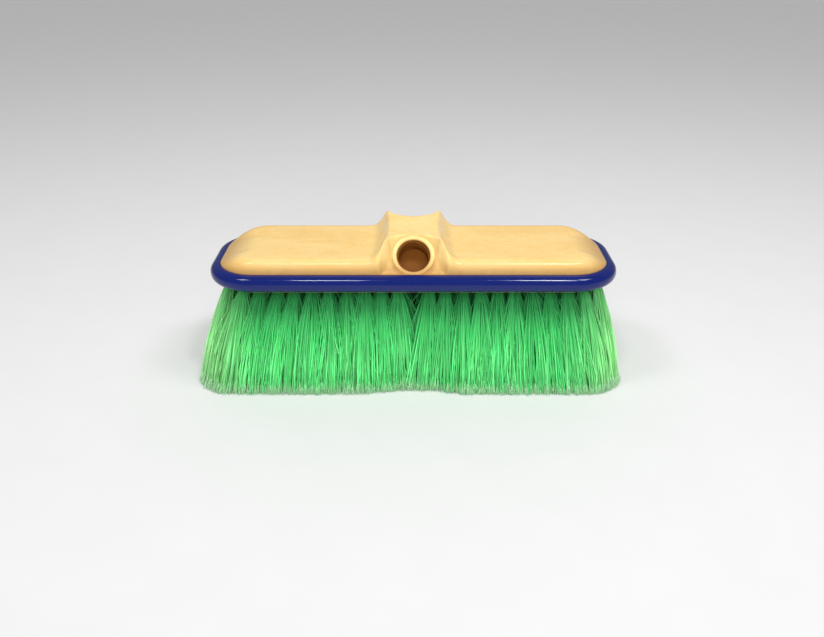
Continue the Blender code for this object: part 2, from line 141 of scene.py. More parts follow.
class ShaderSheet:
    """The node tree of one material."""

    FIRST_COLOUR = 6
    SECOND_COLOUR = 7
    MIXED_COLOUR = 2

    def __init__(self, name: str) -> None:
        """Start a material with its Principled shader.

        Args:
            name: The material's name.
        """
        self.material = bpy.data.materials.new(name)
        self.material.use_nodes = True
        self.tree = self.material.node_tree
        self.shader = self.tree.nodes["Principled BSDF"]

    def node(self, kind: str, settings: Mapping[str, object], inputs: Mapping) -> bpy.types.Node:
        """Add a node to the tree.

        Args:
            kind: The node's type.
            settings: Attributes that are set before its sockets; "stops" holds a colour ramp's.
            inputs: Values or signals for its sockets, by name or number.

        Returns:
            The new node.
        """
        made = self.tree.nodes.new(kind)
        for name, value in settings.items():
            if name == "stops":
                self._fill_ramp(made.color_ramp, value)
            else:
                setattr(made, name, value)
        for key, value in inputs.items():
            if isinstance(value, Signal):
                self.tree.links.new(value.socket, made.inputs[key])
            else:
                made.inputs[key].default_value = value
        return made

    def signal(self, kind: str, settings: Mapping[str, object], inputs: Mapping,
               output: int | str = 0) -> Signal:
        """Add a node and take one of its outputs, by name or number."""
        return Signal(self, self.node(kind, settings, inputs).outputs[output])

    def drive(self, socket: str, value: Signal) -> None:
        """Link a signal to a socket of the shader."""
        self.tree.links.new(value.socket, self.shader.inputs[socket])

    def fix(self, values: Mapping[str, object]) -> None:
        """Set sockets of the shader that are the same all over the surface."""
        for name, value in values.items():
            self.shader.inputs[name].default_value = value

    def place(self) -> Signal:
        """Place of the surface point in the frame, in metres."""
        return self.signal("ShaderNodeTexCoord", {}, {}, "Object")

    def axes(self) -> tuple[Signal, Signal, Signal]:
        """X, Y and Z of the surface point."""
        parts = self.node("ShaderNodeSeparateXYZ", {}, {0: self.place()})
        return tuple(Signal(self, parts.outputs[axis]) for axis in "XYZ")

    def mapped(self, scale: Triple) -> Signal:
        """Place of the surface point, stretched along each axis."""
        return self.signal("ShaderNodeMapping", {}, {"Vector": self.place(), "Scale": scale})

    def speckle(self, scale: Triple, octaves: float, distortion: float = 0.0) -> Signal:
        """Cloudy noise between 0 and 1, with so many blotches a metre along X, Y and Z."""
        return self.signal("ShaderNodeTexNoise", {}, {
            "Vector": self.mapped(scale), "Scale": 1.0, "Detail": octaves, "Distortion": distortion})

    def blend(self, share: Signal, first: Signal | Colour, second: Signal | Colour) -> Signal:
        """Mix two colours: the first where the share is 0, the second where it is 1."""
        inputs = {"Factor": share, self.FIRST_COLOUR: first, self.SECOND_COLOUR: second}
        return self.signal("ShaderNodeMix", {"data_type": "RGBA"}, inputs, self.MIXED_COLOUR)

    def bump(self, height: Signal, strength: float, distance: float) -> None:
        """Roughen the shader's normal by a height between 0 and 1, as deep as the distance."""
        self.drive("Normal", self.signal("ShaderNodeBump", {}, {
            "Height": height, "Strength": strength, "Distance": distance}))

    @staticmethod
    def _fill_ramp(ramp: bpy.types.ColorRamp, stops: Sequence[tuple[float, Colour]]) -> None:
        """Set a colour ramp's stops.

        Args:
            ramp: The ramp, which has two stops at first.
            stops: Position and colour of each stop.
        """
        while len(ramp.elements) < len(stops):
            ramp.elements.new(1.0)
        for element, (position, colour) in zip(ramp.elements, stops):
            element.position = position
            element.color = colour


@dataclass(frozen=True)
class GlossyVinyl:
    """Glossy blue vinyl, slightly uneven from its mould."""

    body: Colour = (0.002, 0.0085, 0.120, 1.0)
    worn: Colour = (0.004, 0.014, 0.142, 1.0)
    cloud_scale: Triple = (40.0, 40.0, 40.0)
    haze_scale: Triple = (500.0, 500.0, 500.0)
    roughness: float = 0.06
    haze_roughness: float = 0.06
    wave_strength: float = 0.3
    wave_depth: float = 0.4 * MM
    ior: float = 1.5
    specular: float = 0.4

    def material(self) -> bpy.types.Material:
        """Build the material.

        Returns:
            The vinyl.
        """
        sheet = ShaderSheet("glossy_vinyl")
        cloud = sheet.speckle(self.cloud_scale, octaves=3.0)
        haze = sheet.speckle(self.haze_scale, octaves=2.0)
        sheet.drive("Base Color", sheet.blend(cloud, self.body, self.worn))
        sheet.drive("Roughness", self.roughness + self.haze_roughness * haze)
        sheet.bump(cloud, self.wave_strength, self.wave_depth)
        sheet.fix({"IOR": self.ior, "Specular IOR Level": self.specular})
        return sheet.material


@dataclass(frozen=True)
class FlaggedFilament:
    """Soft green filament, pale at its cut tips, with painted shade at its roots under the bumper and
    painted light at the brush's ends and towards the tips.
    """

    deep: Colour = (0.055, 0.60, 0.14, 1.0)
    fresh: Colour = (0.135, 0.98, 0.29, 1.0)
    bright: Colour = (0.26, 0.97, 0.34, 1.0)
    pale: Colour = (0.60, 1.0, 0.60, 1.0)
    # painted shade: the dark green of the roots under the bumper
    root_shade: Colour = (0.010, 0.16, 0.040, 1.0)
    root_shade_heights: tuple[float, float] = (38.0 * MM, 62.0 * MM)
    root_shade_share: float = 0.8
    # painted light on the strands at the brush's ends
    sunlit: Colour = (0.46, 1.0, 0.40, 1.0)
    sunlit_zone: tuple[float, float] = (92.0 * MM, 136.0 * MM)
    sunlit_share: float = 0.8
    pale_height: float = 6.0 * MM
    pale_raggedness: float = 8.0 * MM
    pale_share: float = 0.9
    # painted light and shade by height: strands lighter towards the tips, darker towards the roots
    painted_light_heights: tuple[float, float] = (60.0 * MM, 15.0 * MM)
    painted_light_share: float = 0.4
    roughness: float = 0.34
    flag_roughness: float = 0.25
    ior: float = 1.5
    specular: float = 0.2

    def material(self) -> bpy.types.Material:
        """Build the material, whose shades follow each strand's tone and its place on the brush.

        Returns:
            The filament.
        """
        sheet = ShaderSheet("flagged_filament")
        tone = sheet.signal("ShaderNodeAttribute", {"attribute_name": "tone"}, {}, "Fac")
        x, _, height = sheet.axes()
        # painted light and shade: a strand's tone is raised towards the tips and lowered towards the roots
        lit = tone * (1 - self.painted_light_share) + height.between(*self.painted_light_heights) * self.painted_light_share
        stops = ((0.0, self.deep), (MIDDLE_TONE, self.fresh), (1.0, self.bright))
        clean = sheet.signal("ShaderNodeValToRGB", {"stops": stops}, {"Fac": lit})
        # painted light: strands at the brush's ends are painted lighter
        outer = abs(x).between(*self.sunlit_zone) * self.sunlit_share
        # painted shade on the roots under the bumper, less at the brush's ends
        root_shade = height.between(*self.root_shade_heights) * self.root_shade_share * (1 - outer)
        body = sheet.blend(root_shade, sheet.blend(outer, clean, self.sunlit), self.root_shade)
        ragged = height + (MIDDLE_TONE - tone) * self.pale_raggedness
        tips = ragged.between(self.pale_height, 0.0)
        sheet.drive("Base Color", sheet.blend(tips * self.pale_share, body, self.pale))
        sheet.drive("Roughness", self.roughness + self.flag_roughness * tips)
        sheet.fix({"IOR": self.ior, "Specular IOR Level": self.specular})
        return sheet.material


@dataclass(frozen=True)
class StapleSteel:
    """Flat steel wire with drawing marks along it."""

    bright: Colour = (0.66, 0.64, 0.60, 1.0)
    dull: Colour = (0.48, 0.46, 0.43, 1.0)
    drawn_scale: Triple = (2500.0, 60.0, 2500.0)
    roughness: float = 0.25
    drawn_roughness: float = 0.2

    def material(self) -> bpy.types.Material:
        """Build the material.

        Returns:
            The steel.
        """
        sheet = ShaderSheet("staple_steel")
        drawn = sheet.speckle(self.drawn_scale, octaves=2.0)
        sheet.drive("Base Color", sheet.blend(drawn, self.dull, self.bright))
        sheet.drive("Roughness", self.roughness + self.drawn_roughness * drawn)
        sheet.fix({"Metallic": 1.0})
        return sheet.material


def rounded(share: float, power: float = 2.0) -> float:
    """Quarter of an oval that climbs from 0 to 1 while the share does: a circle's at power 2."""
    return (1 - (1 - min(share, 1)) ** power) ** (1 / power)


def smoothstep(value: float, low: float, high: float) -> float:
    """Climb smoothly from 0 to 1 while a value goes from low to high."""
    share = min(max((value - low) / (high - low), 0), 1)
    return share * share * (3 - 2 * share)


def smooth_minimum(first: float, second: float, radius: float) -> float:
    """The lower of two heights, with the edge between them rounded."""
    overlap = max(radius - abs(first - second), 0) / radius
    return min(first, second) - overlap ** 2 * radius / 4


def even_steps(start: float, end: float, spacing: float) -> list[float]:
    """Even places after start, up to and with end, about a spacing apart."""
    count = max(round((end - start) / spacing), 1)
    return [start + (end - start) * step / count for step in range(1, count + 1)]


def quarter_arc(steps: int) -> list[tuple[float, float]]:
    """What cosine and sine leave of 1 at even steps of a quarter turn, for a rounded edge."""
    angles = [QUARTER_TURN * step / steps for step in range(steps + 1)]
    return [(1 - math.cos(angle), 1 - math.sin(angle)) for angle in angles]


def only(geometry: Sequence, kind: type) -> list:
    """The vertices, edges or faces among what an operator returns."""
    return [part for part in geometry if isinstance(part, kind)]


def stray(dice: random.Random, spread: float) -> Vector:
    """A random step in the plane of the cut tips."""
    return Vector((dice.gauss(0, spread), dice.gauss(0, spread), 0))


def stand(data: bpy.types.ID, name: str) -> bpy.types.Object:
    """Link a new object with some data to the scene.

    Args:
        data: A mesh, lamp or camera.
        name: Name of the object.

    Returns:
        The object.
    """
    made = bpy.data.objects.new(name, data)
    bpy.context.scene.collection.objects.link(made)
    return made


def object_from_bmesh(bm: bmesh.types.BMesh, name: str) -> bpy.types.Object:
    """Turn a bmesh into an object whose faces point out.

    Args:
        bm: The bmesh, which is freed.
        name: Name of the object.

    Returns:
        The object, linked to the scene.
    """
    bmesh.ops.recalc_face_normals(bm, faces=bm.faces[:])
    mesh = bpy.data.meshes.new(name)
    bm.to_mesh(mesh)
    bm.free()
    return stand(mesh, name)


class Cut(Enum):
    """What a Boolean pass does with its tools."""

    ADD = "UNION"
    TAKE_AWAY = "DIFFERENCE"


def work_with(target: bpy.types.Object, cut: Cut, cutters: Sequence[bpy.types.Object]) -> None:
    """Add closed objects to another or take them away, in one pass, and remove them.

    Args:
        target: The object, whose mesh is replaced by the result.
        cut: What is done.
        cutters: The closed objects.
    """
    tray = bpy.data.collections.new("cutters")
    bpy.context.scene.collection.children.link(tray)
    for cutter in cutters:
        tray.objects.link(cutter)
    modifier = target.modifiers.new("cuts", "BOOLEAN")
    modifier.operation = cut.value
    modifier.operand_type = "COLLECTION"
    modifier.collection = tray
    bpy.context.view_layer.update()
    evaluated = target.evaluated_get(bpy.context.evaluated_depsgraph_get())
    result = bpy.data.meshes.new_from_object(evaluated)
    target.modifiers.clear()
    target.data = result
    for cutter in cutters:
        bpy.data.objects.remove(cutter)
    bpy.data.collections.remove(tray)


def deliver(piece: bpy.types.Object, slot: Slot, material: bpy.types.Material,
            stands_for: Sequence[str] = ()) -> None:
    """Dress a finished piece and put it on the frame.

    Args:
        piece: The piece, in its place.
        slot: The record's slot that its finish comes from.
        material: Its finish.
        stands_for: CAD nodes that it replaces.
    """
    piece.data.materials.clear()
    piece.data.materials.append(material)
    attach(piece, BODY)
    if stands_for:
        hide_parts(*stands_for)
    log.info("%s: %d faces in %s", piece.name, len(piece.data.polygons), slot.value)


@dataclass(frozen=True)
class PadForm:
    """Plan and edge of the block: a rounded rectangle under a pillow with a soft edge."""

    half_length: float
    half_depth: float
    underside: float
    corner_radius: float = 24.0 * MM
    edge_height: float = 12.3 * MM
    top_rise: float = 7.9 * MM
    side_fillet_run: float = 7.0 * MM
    side_fillet_power: float = 2.4
    end_fillet_run: float = 19.5 * MM
    end_fillet_power: float = 1.2

    @property
    def lip(self) -> float:
        """Height at which the wall turns into the soft edge."""
        return self.underside + self.edge_height

    @property
    def corner_start(self) -> float:
        """Distance from the middle, along X, at which the corners start."""
        return self.half_length - self.corner_radius

    def half_depth_at(self, x: float) -> float:
        """Measure the outline.

        Args:
            x: A place along the length.

        Returns:
            Half the depth there.
        """
        into_corner = abs(x) - self.corner_start
        if into_corner <= 0:
            return self.half_depth
        reach = max(self.corner_radius ** 2 - into_corner ** 2, 0)
        return self.half_depth - self.corner_radius + math.sqrt(reach)

    def outward(self, x: float, y: float) -> Vector:
        """Find the way out of the block.

        Args:
            x: Place along the length, near the outline.
            y: Place along the depth, near the outline.

        Returns:
            The level direction that leaves the outline square to it.
        """
        dx = max(abs(x) - self.corner_start, 0)
        dy = max(abs(y) - (self.half_depth - self.corner_radius), 0)
        return Vector((math.copysign(dx, x), math.copysign(dy, y), 0)).normalized()

    def height(self, x: float, y: float) -> float:
        """Measure the pillow without its boss.

        Args:
            x: Place along the length.
            y: Place along the depth.

        Returns:
            Height of its surface.
        """
        dx = max(abs(x) - self.corner_start, 0)
        dy = max(abs(y) - (self.half_depth - self.corner_radius), 0)
        from_centre = math.hypot(dx, dy)
        if from_centre == 0:
            return self.lip + self.top_rise
        endwards = (dx / from_centre) ** 2
        run = self.side_fillet_run + (self.end_fillet_run - self.side_fillet_run) * endwards
        power = self.side_fillet_power + (self.end_fillet_power - self.side_fillet_power) * endwards
        share = max(self.corner_radius - from_centre, 0) / run
        return self.lip + self.top_rise * rounded(share, power)


@dataclass(frozen=True)
class SocketForm:
    """A threaded handle socket that leans back from a long side of the block."""

    tilt: float = math.radians(40.0)
    mouth_inset: float = 8.9 * MM
    mouth_drop: float = 10.05 * MM
    mouth_radius: float = 10.35 * MM
    mouth_round: float = 1.0 * MM
    lead_in: float = 1.6 * MM
    depth: float = 15.0 * MM
    crest_radius: float = 9.4 * MM
    groove_depth: float = 0.9 * MM
    groove_width: float = 3.2 * MM
    groove_floor: float = 1.4 * MM
    pitch: float = 5.08 * MM
    turns: float = 2.0
    collar_radius: float = 13.0 * MM
    collar_proud: float = 0.6 * MM
    collar_round: float = 0.5 * MM
    collar_root: float = 2.5 * MM
    edge_steps: int = 5
    turned_steps: int = 72
    thread_steps_per_turn: int = 48

    def frame(self, side: Side, mouth_y: float, mouth_z: float) -> Matrix:
        """Matrix whose Z axis leaves the mouth.

        Args:
            side: The side that the socket looks out of.
            mouth_y: Distance of the mouth from the middle.
            mouth_z: Height of the mouth.

        Returns:
            The matrix, with its origin at the mouth.
        """
        axis = Vector((0, side * math.cos(self.tilt), math.sin(self.tilt)))
        turn = axis.to_track_quat("Z", "X").to_matrix().to_4x4()
        return Matrix.Translation((0, side * mouth_y, mouth_z)) @ turn

    def turned(self, profile: Sequence[tuple[float, float]], place: Matrix,
               name: str) -> bpy.types.Object:
        """Turn a profile round the socket's axis.

        Args:
            profile: Radii and heights along the axis, both ends on the axis.
            place: The socket's frame.
            name: Name of the object.

        Returns:
            The turned object.
        """
        bm = bmesh.new()
        points = [bm.verts.new((radius, 0, height)) for radius, height in profile]
        line = [bm.edges.new(pair) for pair in zip(points, points[1:])]
        bmesh.ops.spin(bm, geom=points + line, cent=(0, 0, 0), axis=(0, 0, 1), angle=math.tau,
                       steps=self.turned_steps, use_merge=True)
        bmesh.ops.remove_doubles(bm, verts=bm.verts[:], dist=WELD)
        bmesh.ops.transform(bm, matrix=place, verts=bm.verts[:])
        return object_from_bmesh(bm, name)

    def collar(self, place: Matrix) -> bpy.types.Object:
        """Turn the ring that stands proud round the mouth, with a rounded edge.

        Args:
            place: The socket's frame.

        Returns:
            The collar.
        """
        edge = [(self.collar_radius - self.collar_round * inward,
                 self.collar_proud - self.collar_round * down)
                for inward, down in quarter_arc(self.edge_steps)]
        root = [(0, -self.collar_root), (self.collar_radius, -self.collar_root)]
        return self.turned(root + edge + [(0, self.collar_proud)], place, "socket_collar")

    def bore(self, place: Matrix) -> bpy.types.Object:
        """Turn the cutter for the bore, its step and its rounded mouth.

        Args:
            place: The socket's frame.

        Returns:
            The cutter.
        """
        step = self.mouth_radius - self.crest_radius
        profile = [(0, -self.depth), (self.crest_radius, -self.depth),
                   (self.crest_radius, -self.lead_in - step), (self.mouth_radius, -self.lead_in)]
        profile += [(self.mouth_radius + self.mouth_round * outward,
                     self.collar_proud - self.mouth_round * down)
                    for outward, down in quarter_arc(self.edge_steps)]
        clear = self.collar_radius + self.depth
        profile += [(profile[-1][0], clear), (0, clear)]
        return self.turned(profile, place, "socket_bore")

    def thread(self, place: Matrix) -> bpy.types.Object:
        """Wind the cutter for the thread's groove.

        Args:
            place: The socket's frame.

        Returns:
            The cutter.
        """
        floor_radius = self.crest_radius + self.groove_depth
        inner_radius = self.crest_radius - self.groove_depth
        overcut = (self.groove_width - self.groove_floor) / 2
        section = ((inner_radius, -self.groove_width / 2 - overcut),
                   (floor_radius, -self.groove_floor / 2),
                   (floor_radius, self.groove_floor / 2),
                   (inner_radius, self.groove_width / 2 + overcut))
        start = self.groove_width / 2 + overcut + self.collar_proud - self.depth
        bm = bmesh.new()
        bm.faces.new([bm.verts.new((x, 0, start + z)) for x, z in section])
        steps = round(self.turns * self.thread_steps_per_turn)
        bmesh.ops.spin(bm, geom=bm.verts[:] + bm.edges[:] + bm.faces[:], cent=(0, 0, 0),
                       axis=(0, 0, 1), dvec=(0, 0, self.pitch / self.thread_steps_per_turn),
                       angle=math.tau * self.turns, steps=steps)
        bmesh.ops.transform(bm, matrix=place, verts=bm.verts[:])
        return object_from_bmesh(bm, "socket_thread")


@dataclass(frozen=True)
class BossForm:
    """The raised pad across the block that holds both sockets, with an ear at each corner."""

    pad: PadForm
    socket: SocketForm
    rise: float = 11.0 * MM
    ear_lift: float = 0.9 * MM
    waist_width: float = 32.0 * MM
    ear_width: float = 35.0 * MM
    ear_inset: float = 7.0 * MM
    flank_run: float = 10.5 * MM
    flank_power: float = 2.2
    shoulder_share: float = 0.16
    blend_radius: float = 2.0 * MM
    fold_blend: float = 4.5 * MM
    fold_zone: tuple[float, float] = (8.0 * MM, 16.0 * MM)
    scoop_radius: float = 13.2 * MM
    scoop_splay: float = 0.48
    scoop_run: float = 2.5 * MM

    @property
    def top(self) -> float:
        """Height of the boss's flat top."""
        return self.pad.lip + self.pad.top_rise + self.rise

    @property
    def half_width(self) -> float:
        """Half the boss's width at the feet of its ears."""
        return self.ear_width / 2 + self.flank_run

    @property
    def mouth_y(self) -> float:
        """Distance of a socket's mouth from the middle."""
        return self.pad.half_depth - self.socket.mouth_inset

    @property
    def mouth_z(self) -> float:
        """Height of the middle of a socket's mouth."""
        return self.top - self.socket.mouth_drop

    def scoop_height(self, x: float, y: float) -> float:
        """Measure the slanted face round a mouth, with the walls that rise beside it.

        Args:
            x: Place along the length.
            y: Place along the depth.

        Returns:
            Height of the face.
        """
        up_face = (self.mouth_y - abs(y)) / math.sin(self.socket.tilt)
        face_z = self.mouth_z + up_face * math.cos(self.socket.tilt)
        edge = self.scoop_radius + self.scoop_splay * max(-up_face, 0)
        beyond = max(math.hypot(x, max(up_face, 0)) - edge, 0) / self.scoop_run
        return max(face_z, self.pad.lip) + self.rise * beyond ** 2

    def height(self, x: float, y: float) -> float:
        """Measure the block's upper surface, with pillow, boss and scoops.

        Args:
            x: Place along the length.
            y: Place along the depth.

        Returns:
            Height of the surface.
        """
        pillow = self.pad.height(x, y)
        ear_y = self.pad.half_depth - self.ear_inset
        flare = (self.ear_width - self.waist_width) / 2 * (y / ear_y) ** 2
        beyond = (abs(x) - self.waist_width / 2 - flare) / self.flank_run
        if beyond >= 1:
            return pillow
        front = rounded(max(self.pad.half_depth - abs(y), 0) / self.ear_inset)
        flank = (1 - beyond) ** self.flank_power
        soft = self.shoulder_share
        if flank > 1 - soft:
            flank = 1 - soft * math.exp((1 - soft - flank) / soft)
        crown = self.top + self.ear_lift * (y / ear_y) ** 2
        boss = pillow + (crown - pillow) * flank * front
        blend = self.blend_radius + self.fold_blend * (1 - smoothstep(abs(x), *self.fold_zone))
        return max(smooth_minimum(boss, self.scoop_height(x, y), blend), self.pad.lip)


@dataclass(frozen=True)
class FoamSkin:
    """Satin skin of moulded structural foam, with faint swirls and pits, and painted shade near the lip,
    round the collars and inside the bores.
    """

    boss: BossForm
    light: Colour = (0.95, 0.70, 0.29, 1.0)
    deep: Colour = (0.91, 0.61, 0.215, 1.0)
    # painted shade: a darker tan towards the lip and round each collar's foot
    shade_tan: Colour = (0.48, 0.25, 0.07, 1.0)
    # painted shade: the dark brown inside the bores
    bore_shade: Colour = (0.25, 0.085, 0.010, 1.0)
    lip_shade_height: float = 11.0 * MM
    # painted shade in the valley round each collar's foot
    valley_width: float = 3.5 * MM
    valley_edge: float = 0.3 * MM
    valley_reach: float = 8.0 * MM
    valley_shade_share: float = 0.5
    shade_patchiness: float = 0.4
    swirl_scale: Triple = (15.0, 36.0, 36.0)
    swirl_distortion: float = 1.4
    swirl_share: float = 0.6
    mottle_scale: Triple = (170.0, 260.0, 260.0)
    tint_levels: tuple[float, float] = (0.36, 0.62)
    pit_scale: Triple = (900.0, 900.0, 900.0)
    pit_levels: tuple[float, float] = (0.66, 0.76)
    bore_margin: float = 0.7 * MM
    # depth below the mouth over which the painted bore shade comes in
    bore_shade_depth: float = 2.0 * MM
    roughness: float = 0.17
    mottle_roughness: float = 0.10
    pit_roughness: float = 0.12
    bare_roughness: float = 0.5
    mottle_relief: float = 0.5
    pit_relief: float = 0.4
    relief_strength: float = 0.25
    relief_depth: float = 0.12 * MM
    ior: float = 1.5
    specular: float = 0.35

    def socket_place(self, sheet: ShaderSheet) -> tuple[Signal, Signal]:
        """Measure where the surface point is about the socket on its side of the block.

        Args:
            sheet: The material's tree.

        Returns:
            Distance from the socket's axis, and depth below its mouth.
        """
        tilt = self.boss.socket.tilt
        x, y, z = sheet.axes()
        across = abs(y) - self.boss.mouth_y
        up = z - self.boss.mouth_z
        depth = across * -math.cos(tilt) - up * math.sin(tilt)
        return (x * x + across * across + up * up - depth * depth) ** 0.5, depth

    def bore(self, from_axis: Signal, depth: Signal) -> Signal:
        """Find the inside of a socket's bore, which is painted in shade.

        Args:
            from_axis: Distance from the socket's axis.
            depth: Depth below its mouth.

        Returns:
            1 deep in the bore and 0 outside it.
        """
        socket = self.boss.socket
        edge = socket.mouth_radius + self.bore_margin
        floor = socket.depth + self.bore_margin
        return (from_axis.between(edge, socket.mouth_radius) * depth.between(0.0, self.bore_shade_depth)
                * depth.between(floor + self.bore_margin, floor))

    def valley(self, from_axis: Signal, depth: Signal) -> Signal:
        """Find the valley round a socket's collar, which is painted in shade.

        Args:
            from_axis: Distance from the socket's axis.
            depth: Depth below its mouth.

        Returns:
            1 at the collar's foot and 0 away from it.
        """
        foot = self.boss.socket.collar_radius
        near = from_axis.between(foot + self.valley_width, foot)
        outside = from_axis.between(foot - self.valley_edge, foot)
        return near * outside * depth.between(self.valley_reach, 0.0)

    def material(self) -> bpy.types.Material:
        """Build the material.

        Returns:
            The foam's skin.
        """
        sheet = ShaderSheet("foam_skin")
        swirl = sheet.speckle(self.swirl_scale, octaves=4.0, distortion=self.swirl_distortion)
        mottle = sheet.speckle(self.mottle_scale, octaves=3.0)
        pits = sheet.speckle(self.pit_scale, octaves=1.0).between(*self.pit_levels)
        tint = (swirl * self.swirl_share + mottle * (1 - self.swirl_share)).between(*self.tint_levels)
        skin = sheet.blend(tint, self.deep, self.light)
        lip = self.boss.pad.lip
        from_axis, depth = self.socket_place(sheet)
        bore = self.bore(from_axis, depth)
        # painted shade: the foam darkens towards the lip, where the wall above the bumper is shaded, and in
        # the valley round each collar, patchy with the mottle
        low = sheet.axes()[2].between(lip + self.lip_shade_height, lip)
        painted_shade = low + self.valley(from_axis, depth) * self.valley_shade_share
        patchy = 1 - self.shade_patchiness + self.shade_patchiness * mottle
        shaded_skin = sheet.blend(painted_shade * patchy, skin, self.shade_tan)
        # painted shade: the inside of each bore is painted dark brown
        sheet.drive("Base Color", sheet.blend(bore, shaded_skin, self.bore_shade))
        sheet.drive("Roughness", self.roughness + self.mottle_roughness * mottle
                    + self.pit_roughness * pits + self.bare_roughness * bore)
        relief = mottle * self.mottle_relief - pits * self.pit_relief
        sheet.bump(relief, self.relief_strength, self.relief_depth)
        sheet.fix({"IOR": self.ior, "Specular IOR Level": self.specular})
        return sheet.material


@dataclass(frozen=True)
class TuftPlan:
    """Where the tufts stand: columns along X on each side of a bare middle, rows along Y."""

    pad: PadForm
    column_pitch: float = 10.56 * MM
    first_column: float = 9.8 * MM
    columns: int = 11
    row_pitch: float = 12.8 * MM
    rows: int = 5
    edge_margin: float = 5.4 * MM
    hole_radius: float = 2.3 * MM
    hole_depth: float = 7.8 * MM

    def column_x(self, side: int, column: int) -> float:
        """Place of a column along X."""
        return side * (self.first_column + self.column_pitch * column)

    def row_places(self, x: float) -> list[float]:
        """Places of a column's tufts along Y."""
        rows = [self.row_pitch * (row - (self.rows - 1) / 2) for row in range(self.rows)]
        return [y for y in rows if abs(y) <= self.pad.half_depth_at(x) - self.edge_margin]

    def order(self) -> list[tuple[int, int]]:
        """Side and column of every column of tufts, from one end of the block to the other."""
        columns = range(self.columns)
        return [(-1, column) for column in reversed(columns)] + [(1, column) for column in columns]


@dataclass(frozen=True)
class EdgeGroove:
    """The groove round the block's wall that takes the bumper's tongue."""

    above_underside: float = 1.8 * MM
    bumper_height: float = 10.4 * MM
    tongue_height: float = 4.0 * MM
    tongue_depth: float = 2.2 * MM
    gap: float = 0.3 * MM

    def middle(self, underside: float) -> float:
        """Height of the middle of the groove and of the bumper."""
        return underside + self.above_underside + self.bumper_height / 2


